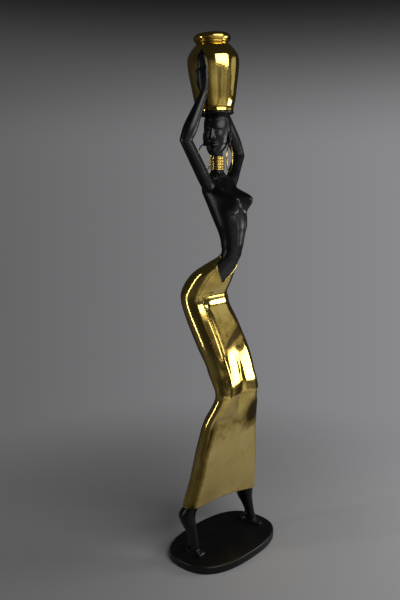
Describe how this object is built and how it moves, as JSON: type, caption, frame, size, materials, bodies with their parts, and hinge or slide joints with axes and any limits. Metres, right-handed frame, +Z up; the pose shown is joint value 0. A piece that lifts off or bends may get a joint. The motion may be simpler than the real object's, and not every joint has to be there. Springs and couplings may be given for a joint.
{
  "type": "water_carrier_statue",
  "caption": "Tall slender standing statue of a woman in a polished wrapped skirt balancing a hollow water jar on her head, on an oval plate.",
  "frame": {"origin": "middle of the oval base plate's underside", "axes": "+Z up from the base to the jar's rim, the chest faces -Y, the base's long axis lies along X and her right side is -X"},
  "size_m": [0.444, 0.2945, 1.8075],
  "materials": {
    "black_patina": "satin black patina over cast brass",
    "base_black": "satin black, rubbed at the edge",
    "polished_brass": "mirror polished with light tarnish"
  },
  "bodies": {
    "root": {"base_plate": "base_black", "upper_body": "black_patina", "right_lower_leg": "black_patina", "left_lower_leg": "black_patina", "wrapped_skirt": "polished_brass", "water_jar": "polished_brass", "neck_rings": "polished_brass", "right_earring": "polished_brass", "left_earring": "polished_brass"}
  },
  "joints": []
}
